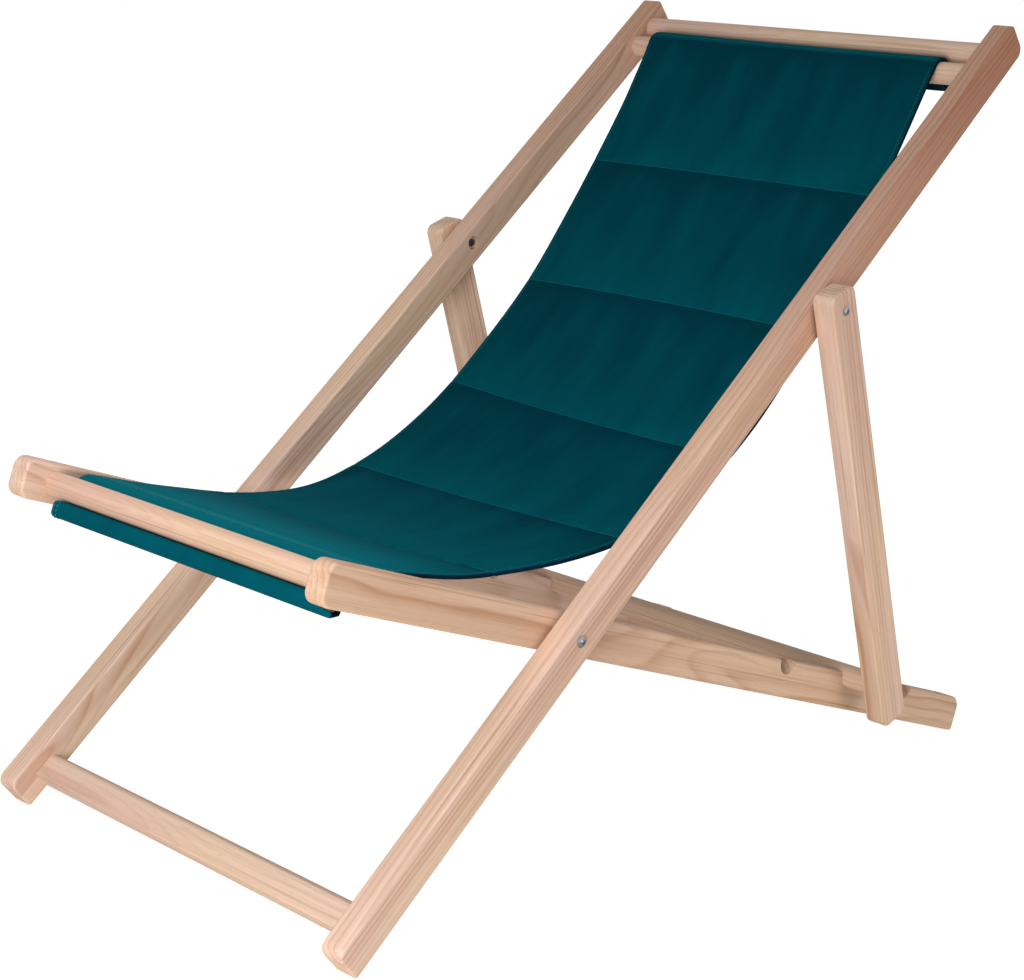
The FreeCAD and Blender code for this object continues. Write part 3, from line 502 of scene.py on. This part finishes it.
def sling_path():
    """The whole way, and the lengths where the hanging part starts and ends."""
    loop_front = pocket_path("front_slat", SEAT_UP, SEAT_UP + 90)
    loop_top = pocket_path("top_slat", BACK_UP, BACK_UP - 90)
    stem_front = loop_front[-1:] - heading(SEAT_UP) * FRONT_SHIFT
    stem_top = loop_top[:1] - heading(BACK_UP) * TOP_SHIFT
    touch_front, touch_top = 90 + LEAVES_FRONT, 90 + REACHES_TOP
    start = front_centre + heading(touch_front)[0] * front_ring
    end = top_centre + heading(touch_top)[0] * top_ring
    first = start + heading(LEAVES_FRONT)[0] * FRONT_HANDLE
    second = end - heading(REACHES_TOP)[0] * TOP_HANDLE
    hanging = cubic(start, first, second, end)
    pieces = [loop_front[:-1], stem_front, arc(front_centre, front_ring, SEAT_UP, touch_front)[:-1],
              hanging, arc(top_centre, top_ring, touch_top, BACK_UP)[1:], stem_top, loop_top[1:]]
    points = np.concatenate(pieces)
    steps = np.concatenate([[0], np.cumsum(np.linalg.norm(np.diff(points, axis=0), axis=1))])
    before = sum(len(piece) for piece in pieces[:3])
    return points, steps, steps[before], steps[before + len(hanging) - 1]


path, way, hang_start, hang_end = sling_path()
print("the sling is", round(way[-1], 3), "m long, of which", round(hang_end - hang_start, 3), "m hang free")

# %% [markdown]
# ## The padded sheet
#
# Two layers of canvas hold a thin pad, and seams across the sling, one about every 17 cm,
# divide it into channels. The shell is drawn as a grid: one parameter runs along the path,
# the other across the sling. It hangs a little twisted, as in the photograph, where the left
# edge is higher at the seat and lower at the back. The layers meet at the seams. Blender's
# Cloth then blows the channels up with a little pressure, as the pad does, while seams and
# hems are held. That gives the soft fullness and small puckers that a formula would fake.

# %% Grid and shell
# half widths of the sling and of its pockets, and the length of a step from one to the other
HANGING_HALF, POCKET_HALF, STEP = 0.2075, 0.1945, 0.012

# the share of the half width from which the two long edges are rounded off
ROUND_FROM = 0.985

# where the seams lie, and the ends of all channels: the pad stops beside the dowels
SEAMS = hang_start + np.array([0.174, 0.3610, 0.5350, 0.7120, 0.8865])
EDGES = np.concatenate([[hang_start + 0.024], SEAMS, [hang_end + 0.004]])

# how far a row is drawn up along the sling, in mm, at its right edge, middle and left edge
BOW_AT = np.concatenate([[0], SEAMS, [SEAMS[-1] + 0.12]])
BOWS = ((0, 3, 4.5, 4, -5.5, -3, 0), (0, -1, -2, -2, 0.5, 0.5, 0), (0, -3, 2, 1.5, 0, 1.5, 0))

# how far the two long edges lie above the middle line: length hung in m, height in mm
LEAN_LEFT = ((0, 0), (0.143, 1.5), (0.2, 6.3), (0.25, 7.5), (0.3, 7.4), (0.335, 5.3), (0.4, 0.5),
             (0.47, -4.6), (0.535, -8.7), (0.6, -11), (0.65, -10.5), (0.75, -7), (0.85, -4),
             (0.965, -1.5), (1.05, 0))
LEAN_RIGHT = ((0, 0), (0.1, -0.8), (0.143, -2.3), (0.178, -5), (0.213, -6.1), (0.283, -8.6),
              (0.3, -8.3), (0.335, -5.2), (0.37, -2.2), (0.405, -0.4), (0.44, 2.2), (0.5, 3.5),
              (0.58, 4.8), (0.61, 4.4), (0.65, 2.6), (0.685, 1), (0.72, -0.5), (0.79, 0.8),
              (1.0, 1), (1.05, 0))

# the seat pivot in the side view, the rail's lower edge below it, and how far in front of it
# the pocket ends
SEAT_PIVOT, RAIL_BELOW = side_of("seat_pivot_bolt_left")[0], 0.0195
POCKET_RUN = float((side_of("front_slat")[0] - SEAT_PIVOT) @ heading(SEAT_UP)[0]) + 0.0224

# how far the pocket's left end runs on below the rail, and the run over which that fades
TONGUE, TONGUE_FADE = 0.034, 0.045


def ease(x):
    """0 to 1 with level ends: 3x^2 - 2x^3."""
    x = np.clip(x, 0, 1)
    return x * x * (3 - 2 * x)


def along_path(lengths):
    """Points and normals of the side view at these lengths; the normal points up or out."""
    points = np.stack([np.interp(lengths, way, path[:, k]) for k in (0, 1)], axis=-1)
    ahead = np.stack([np.interp(lengths + 0.0015, way, path[:, k]) for k in (0, 1)], axis=-1)
    behind = np.stack([np.interp(lengths - 0.0015, way, path[:, k]) for k in (0, 1)], axis=-1)
    slope = ahead - behind
    slope /= np.linalg.norm(slope, axis=-1, keepdims=True)
    return points, np.stack([-slope[..., 1], slope[..., 0]], axis=-1)


def smooth_table(table, lengths):
    """A table's values between its lengths, rounded off over 3 cm on each side."""
    hung, values = np.array(table).T
    shifts = np.linspace(-0.03, 0.03, 13)
    return np.mean([np.interp(lengths - hang_start + shift, hung, values) for shift in shifts], axis=0)


def from_seams(lengths):
    """Distance to the nearest seam."""
    return np.min(np.abs(lengths[..., None] - SEAMS), axis=-1)


def in_the_open(lengths):
    """1 where the sling hangs or lies over a dowel, 0 in the gaps and pockets."""
    return ease((lengths - hang_start + 0.034) / STEP) * ease((hang_end + 0.046 - lengths) / STEP)


def bow(lengths, shares):
    """How far a row is drawn along the sling: a parabola through its two edges and middle."""
    right, middle, left = (0.001 * np.interp(lengths, BOW_AT, drawn) for drawn in BOWS)
    return middle + (left - right) / 2 * shares + ((left + right) / 2 - middle) * shares ** 2


def tongue(points):
    """How far the pocket's left end runs on below the rail, 0 behind it and above its underside."""
    from_pivot = points - SEAT_PIVOT
    below_rail = -RAIL_BELOW - from_pivot @ heading(SEAT_UP - 90)[0]
    from_front = POCKET_RUN - from_pivot @ heading(SEAT_UP)[0]
    return TONGUE * ease((below_rail - 0.0010) / 0.0010) * np.clip(1 - from_front / TONGUE_FADE, 0, 1)


def sling_point(lengths, shares, side):
    """Points of the sling's upper (side 1) or lower (side -1) face, and their outward normals.

    Point = path(length + bow) + normal * (lean(share) - sag + lift + side * half thickness), at
    x = share * half width. The canvas is pinched together on each seam, and round at its two
    long edges. It sags a little behind the front dowels and lifts off the top one on the
    right, where its edge also reaches further out beside the dowels. On the left the top
    pocket reaches further out, and the front pocket's end runs on under the rail.
    """
    lengths, shares = np.broadcast_arrays(lengths, shares)
    points, normals = along_path(lengths + bow(lengths, shares))
    left, right = smooth_table(LEAN_LEFT, lengths), smooth_table(LEAN_RIGHT, lengths)
    hung = ease((lengths - hang_start) / 0.08) * ease((hang_end - lengths) / 0.08)
    lean = 0.001 * hung * (left * (1 + shares) + right * (1 - shares)) / 2
    pinch = 1 - 0.5 * (1 - ease(from_seams(lengths) / 0.005))
    half = CANVAS + (PADDED - CANVAS) * in_the_open(lengths) * pinch
    rounding = np.clip((np.abs(shares) - ROUND_FROM) / 0.015, 0, 1)
    half = half * np.sqrt(np.clip(1 - rounding ** 2, 0, 1))
    sag = 0.0045 * (1 - shares ** 2) * ease(1 - np.abs(lengths - hang_start - 0.17) / 0.15)
    lift = 0.0022 * ease(-shares) * ease(1 - np.abs(lengths - hang_end - 0.008) / 0.03)
    height = lean - sag + lift + side * half
    x = shares * (POCKET_HALF + (HANGING_HALF - POCKET_HALF) * in_the_open(lengths))
    near_right, near_left = ease(-shares * 2 - 1), ease(shares * 2 - 1)
    x = x - 0.005 * near_right * ease(1 - np.abs(lengths - hang_start) / 0.06)
    x = x - 0.005 * near_right * ease(1 - np.abs(lengths - hang_end) / 0.10)
    x = x + 0.008 * near_left * ease((lengths - hang_end - 0.034) / STEP)
    x = x + tongue(points) * ease(shares * 2.2 - 1.2) * (lengths < hang_start - 0.03)
    places = np.concatenate([x[..., None], points + normals * height[..., None]], axis=-1)
    return places, side * np.concatenate([np.zeros_like(x)[..., None], normals], axis=-1)


def rows_along():
    """Row lengths: fine in the pockets, 6 mm on the hanging part and close beside each seam."""
    front = np.linspace(0, EDGES[0], 120, endpoint=False)
    hung = []
    for a, b in zip(EDGES, EDGES[1:]):
        beside = np.array([0, 0.0014, 0.003, 0.005])
        hung += [a + beside, np.linspace(a + 0.009, b - 0.009, 26), b - beside[:0:-1]]
    back = np.linspace(EDGES[-1], way[-1], 90)
    return np.concatenate([front, *hung, back])


rows = rows_along()
rounded = np.array([0.994, 0.9985, 1])
across = np.concatenate([-rounded[::-1], np.linspace(-ROUND_FROM, ROUND_FROM, 64), rounded])
inner_channel = (rows > EDGES[0] + 1e-6) & (rows < EDGES[-1] - 1e-6)
upper_face, upward_normals = sling_point(rows[:, None], across[None, :], 1)
lower_face, downward_normals = sling_point(rows[:, None], across[None, :], -1)


def grid_faces(count_rows, count_across):
    """Both sheets share their edge columns; the ends are closed by strips."""
    n, m = count_rows, count_across
    upper = np.arange(n * m).reshape(n, m)
    lower = upper + n * m
    lower[:, 0], lower[:, -1] = upper[:, 0], upper[:, -1]

    def quads(g):
        return np.stack([g[:-1, :-1], g[:-1, 1:], g[1:, 1:], g[1:, :-1]], axis=-1).reshape(-1, 4)

    ends = []
    for row, flip in ((0, False), (n - 1, True)):
        strip = np.stack([upper[row, :-1], lower[row, :-1], lower[row, 1:], upper[row, 1:]], axis=-1)
        ends.append(strip[:, ::-1] if flip else strip)
    return upper, lower, quads(upper), quads(lower)[:, ::-1], ends


upper, lower, top_quads, low_quads, end_strips = grid_faces(len(rows), len(across))
print("sling grid", len(rows), "by", len(across))

# %% Mesh of the sling
def mesh_object(name, places, faces, uvs=None):
    """A mesh from arrays, with unused points left out, faces smooth, and its UV map if given."""
    used = np.unique(np.concatenate([np.ravel(f) for f in faces]))
    renumber = np.full(len(places), -1)
    renumber[used] = np.arange(len(used))
    mesh = bpy.data.meshes.new(name)
    listed = [tuple(int(renumber[i]) for i in dict.fromkeys(face))
              for group in faces for face in group.tolist()]
    mesh.from_pydata(places[used].tolist(), [], [face for face in listed if len(face) > 2])
    mesh.polygons.foreach_set("use_smooth", np.ones(len(mesh.polygons), bool))
    if uvs is not None:
        loops = np.zeros(len(mesh.loops), np.int32)
        mesh.loops.foreach_get("vertex_index", loops)
        layer = mesh.uv_layers.new(name="cut")
        layer.data.foreach_set("uv", uvs[used][loops].astype(np.float32).ravel())
    mesh.validate()
    made = bpy.data.objects.new(name, mesh)
    scene.collection.objects.link(made)
    return made, used


places = np.concatenate([upper_face.reshape(-1, 3), lower_face.reshape(-1, 3)])
cut_map = np.stack(np.meshgrid(across * HANGING_HALF, rows), axis=-1).reshape(-1, 2)
sling, kept = mesh_object("sling_canvas", places, [top_quads, low_quads, *end_strips],
                          np.concatenate([cut_map, cut_map]))
panel = np.zeros(len(rows))
for start, end in zip(EDGES, EDGES[1:]):
    panel = np.where((rows >= start) & (rows < end), (rows - start) / (end - start), panel)
panels = sling.data.attributes.new("panel", "FLOAT", "POINT")
panels.data.foreach_set("value", np.tile(np.repeat(panel, len(across)), 2)[kept].astype(np.float32))

# navy lining: the whole lower face, and the outermost two columns of the hanging upper face
columns = len(across) - 1
column = np.arange(len(top_quads)) % columns
rim = (column < 2) | (column >= columns - 2)
lining = np.ones(len(sling.data.polygons), np.int32)
lining[:len(top_quads)] = rim & (np.repeat(rows[:-1], columns) > hang_start)
sling.data.polygons.foreach_set("material_index", lining)
print(sling.name, len(sling.data.polygons), "faces")

# %% [markdown]
# ## Blowing up the channels
#
# The points on seams, hems, dowels and pockets are pinned. The rest is cloth under pressure
# from inside, cut a little too large so that it puckers along the seams. How far a point may
# move is capped, so the sling stays as thin as the real one.

# %% Cloth
FULLEST = 0.0025
LAST_FRAME = 20


def held_shares():
    """How firmly each grid point is held: 1 is pinned, and it fades within a few millimetres."""
    from_seam = np.minimum(from_seams(rows), np.minimum(np.abs(rows - EDGES[0]), np.abs(rows - EDGES[-1])))
    firm_rows = np.where(inner_channel, 1 - ease(from_seam / 0.004), 1)
    firm_columns = ease((np.abs(across) - 0.93) / 0.03)
    return np.maximum(firm_rows[:, None], firm_columns[None, :])


def blown_up(piece, held):
    """Runs Cloth on the piece up to its last frame and returns where its points end up."""
    group = piece.vertex_groups.new(name="held")
    for level in np.unique(np.round(held, 2)):
        group.add(np.flatnonzero(np.round(held, 2) == level).tolist(), float(level), "REPLACE")
    cloth = piece.modifiers.new("Cloth", "CLOTH")
    how = cloth.settings
    how.quality = 5
    how.mass = 0.25
    how.tension_stiffness = how.compression_stiffness = 20
    how.shear_stiffness = 8
    how.bending_stiffness = 0.6
    how.use_pressure = True
    how.uniform_pressure_force = 6
    how.shrink_min = -0.018
    how.effector_weights.gravity = 0
    how.vertex_group_mass = "held"
    cloth.collision_settings.use_collision = False
    cloth.point_cache.frame_start, cloth.point_cache.frame_end = 1, LAST_FRAME
    for number in range(1, LAST_FRAME + 1):
        scene.frame_set(number)
    result = piece.evaluated_get(bpy.context.evaluated_depsgraph_get())
    moved = np.zeros(len(piece.data.vertices) * 3, np.float32)
    result.data.vertices.foreach_get("co", moved)
    piece.modifiers.remove(cloth)
    scene.frame_set(1)
    return moved.reshape(-1, 3).astype(float)


rest = places[kept]
held = np.concatenate([held_shares().ravel()] * 2)[kept]
moved = blown_up(sling, held)
step = moved - rest
size = np.linalg.norm(step, axis=1, keepdims=True)
capped = rest + step * (FULLEST * np.tanh(size / FULLEST) / np.maximum(size, 1e-9))
sling.data.vertices.foreach_set("co", capped.astype(np.float32).ravel())
sling.data.update()
print("channels swell by", round(float(size.mean()) * 1000, 2), "mm on average, at most",
      round(float(np.linalg.norm(capped - rest, axis=1).max()) * 1000, 2), "mm")

# %% [markdown]
# ## Canvas
#
# The cover is a tightly woven deep teal canvas, quite matt, with a navy lining below that
# shows as a thin dark line along the edges. At arm's length the weave shows as fine crossing
# ribs with a painted highlight on the thread tops, and the colour clouds a little with painted
# light and shade that stand for soft creases. Painted light brightens the seat, its front and
# each channel just above its seam; painted shade darkens each channel just below its seam and
# the front pocket. The pattern follows the sling's own map, measured in metres, so that the
# threads bend with the cloth.

# %% Canvas finish
TWO_THREADS = 0.0011


def canvas(name, lit, deep, painted_highlight):
    """Plain weave: two crossing sine waves of threads, slubs, and faint clouds of painted light and shade.

    lit, deep: the lit colour and the colour of painted shade, between which the share goes.
    painted_highlight: a painted highlight on the tops of the threads and at the seat's front.
    """
    finish = Finish(name)
    place = finish.node("ShaderNodeUVMap", {"uv_map": "cut"})
    x, y, _ = finish.parts_of(place)
    warp, weft = ((along * (math.tau / TWO_THREADS)).sine() for along in (x, y))
    threads = warp * weft * 0.5 + 0.5
    slub = finish.noise(finish.stretched(place, (1700, 90, 1)), 1.0, 2.0)
    # painted light and shade: random clouds that stand for soft creases
    clouds = finish.noise(finish.stretched(place, (26, 7, 1)), 1.0, 2.0)
    up_the_panel = finish.node("ShaderNodeAttribute", {"attribute_name": "panel"}, output=2)
    # painted light just above each seam and painted shade just below it, where the padded relief is lit and
    # shaded
    painted_light_above_seam = (1.0 - up_the_panel) ** 2.5
    painted_shade_below_seam = up_the_panel ** 9.0
    # painted light: the cloth is lighter on the seat, which faces the lamps
    painted_light_on_seat = ((0.62 - y) * 2.2).clamped()
    # painted shade: the cloth is darker in the front pocket, under the bars
    painted_shade_in_pocket = ((hang_start - 0.03 - y) * 60.0).clamped()
    # painted light: the seat's front is blended towards the lighter teal
    painted_light_at_front = ((hang_start + 0.17 - y) * 7.0).clamped() - painted_shade_in_pocket
    share = clouds * 1.1 + slub * 0.3 - 0.45 + painted_light_above_seam * 0.5 - painted_shade_below_seam * 0.5
    share = share + painted_light_on_seat * 0.7 - painted_shade_in_pocket * 0.75
    colour = finish.blend(share.clamped(), deep, lit)
    colour = finish.blend(painted_light_at_front * 0.75, colour, painted_highlight)
    # painted highlight on the tops of the threads
    colour = finish.blend(threads * 0.12, colour, painted_highlight)
    return finish.shaded({
        "Base Color": colour,
        "Roughness": 0.78 + threads * 0.08,
        "Specular IOR Level": 0.012,
        "Normal": finish.bumped(threads + slub * 0.6, 0.2, 0.00025)})


sling.data.materials.append(canvas("teal_canvas", paint(0, 84, 97), paint(0, 55, 69), paint(6, 114, 127)))
sling.data.materials.append(canvas("navy_lining", paint(12, 40, 62), paint(8, 32, 52), paint(24, 52, 74)))
finer = sling.modifiers.new("finer", "SUBSURF")
finer.levels = finer.render_levels = 1
print("canvas on", sling.name)

# %% [markdown]
# ## Stitches
#
# Each seam is a row of small stitches in thread a shade lighter than the cloth. Three rows
# run beside the front dowel and two beside the top one, where the pockets are sewn, and one
# along each hem. The thread near the front is paler. One stitch is a short bead that
# dips at both ends. All of them are copies of one small grid, placed in a single array.

# %% Stitches
RINGS, SPOKES = 6, 6
STITCH, STITCH_RADIUS, STITCH_STEP = 0.0036, 0.00042, 1.18


def bead(length, thick):
    """A capsule along x: radius = thick * sqrt(1 - s^4), and it sinks at both ends as s^4."""
    s, a = np.meshgrid(np.linspace(-1, 1, RINGS), np.arange(SPOKES) / SPOKES * math.tau, indexing="ij")
    radius = thick * np.sqrt(np.clip(1 - s ** 4, 0.02, 1))
    x, y = s * length / 2, radius * np.cos(a)
    z = radius * np.sin(a) - thick * 0.7 * s ** 4
    return np.stack([x, y, z], axis=-1).reshape(-1, 3)


def bead_faces():
    """Quads round the bead from ring to ring, and one face that closes each end."""
    ring, spoke = np.meshgrid(np.arange(RINGS - 1), np.arange(SPOKES), indexing="ij")
    here, there = ring * SPOKES + spoke, ring * SPOKES + (spoke + 1) % SPOKES
    body = np.stack([here, there, there + SPOKES, here + SPOKES], axis=-1).reshape(-1, 4)
    caps = [list(range(SPOKES))[::-1], list(range((RINGS - 1) * SPOKES, RINGS * SPOKES))]
    return body, caps


cross_rows = np.concatenate([SEAMS, hang_start + np.array([0.008, 0.015, 0.022]),
                             hang_end + np.array([0.007, 0.0105])])


def stitch_places():
    """Centres of all stitches on both faces, with their outward and lengthwise directions.

    Rows run across the sling on its seams and beside the dowels, and along its two hems. Two
    more close the front pocket's right end, on its outer face alone.
    """
    pace = STITCH * STITCH_STEP
    shares = np.arange(-0.198, 0.1981, pace)[None, :] / HANGING_HALF
    hung = np.arange(hang_start + 0.002, hang_end - 0.002, pace)[:, None]
    pocket = np.arange(0.004, hang_start - 0.036, pace)[:, None]
    hems, pocket_hems = np.array([[-0.974, 0.974]]), np.array([[-0.980, -0.955]])
    across_it, along_it = (cross_rows[:, None], shares, False), (hung, hems, True)
    found = []
    for side, (length, share, lengthwise) in ((1, across_it), (1, along_it), (-1, across_it),
                                              (-1, along_it), (1, (pocket, pocket_hems, True))):
        centre, up = sling_point(length, share, side)
        centre, up = centre.reshape(-1, 3), up.reshape(-1, 3)
        ahead = np.tile([1.0, 0, 0], (len(up), 1))
        if lengthwise:
            ahead = np.stack([np.zeros(len(up)), up[:, 2], -up[:, 1]], axis=-1)
        found.append(np.stack([centre + up * 0.0001, up, ahead], axis=1))
    return np.concatenate(found).transpose(1, 0, 2)


def stitches():
    """One bead per stitch: its x runs along the row and its z away from the cloth."""
    centres, ups, ahead = stitch_places()
    one = bead(STITCH, STITCH_RADIUS)
    sideways = np.cross(ups, ahead)
    all_points = (centres[:, None, :] + one[None, :, :1] * ahead[:, None, :]
                  + one[None, :, 1:2] * sideways[:, None, :] + one[None, :, 2:] * ups[:, None, :])
    body, caps = bead_faces()
    starts = np.arange(len(centres))[:, None, None] * len(one)
    faces = (body[None] + starts).reshape(-1, 4)
    lids = (np.array(caps)[None] + starts).reshape(-1, len(caps[0]))
    made, _ = mesh_object("sling_stitches", all_points.reshape(-1, 3), [faces, lids])
    return made


def thread():
    """Twisted thread, cloudy along the row, and paler beyond 39 cm before the middle."""
    finish = Finish("teal_thread")
    place = finish.node("ShaderNodeTexCoord", output=3)
    twist = finish.noise(finish.stretched(place, (2600, 900, 900)), 1.0, 2.0)
    paler_front = (finish.parts_of(place)[1] * -20.0 - 7.8).clamped()
    plain_thread = finish.blend(twist, paint(4, 104, 112), paint(20, 124, 130))
    return finish.shaded({
        "Base Color": finish.blend(paler_front, plain_thread, paint(44, 138, 144)),
        "Roughness": 0.6 + twist * 0.15,
        "Specular IOR Level": 0.1,
        "Normal": finish.bumped(twist, 0.3, 0.0002)})


stitching = stitches()
stitching.data.materials.append(thread())
print(stitching.name, len(stitching.data.polygons), "faces")

# %% [markdown]
# ## The sling's place
#
# On the real chair the front of the sling follows the seat frame, its top follows the back
# frame, and between them it bends about the seat pivots when the chair is folded. Here the
# sling and its stitches keep the places they were made in, and the imported model's own sling
# is hidden.

# %% Sling and stitches set in place
for piece in (sling, stitching):
    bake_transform(piece)
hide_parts("sling")
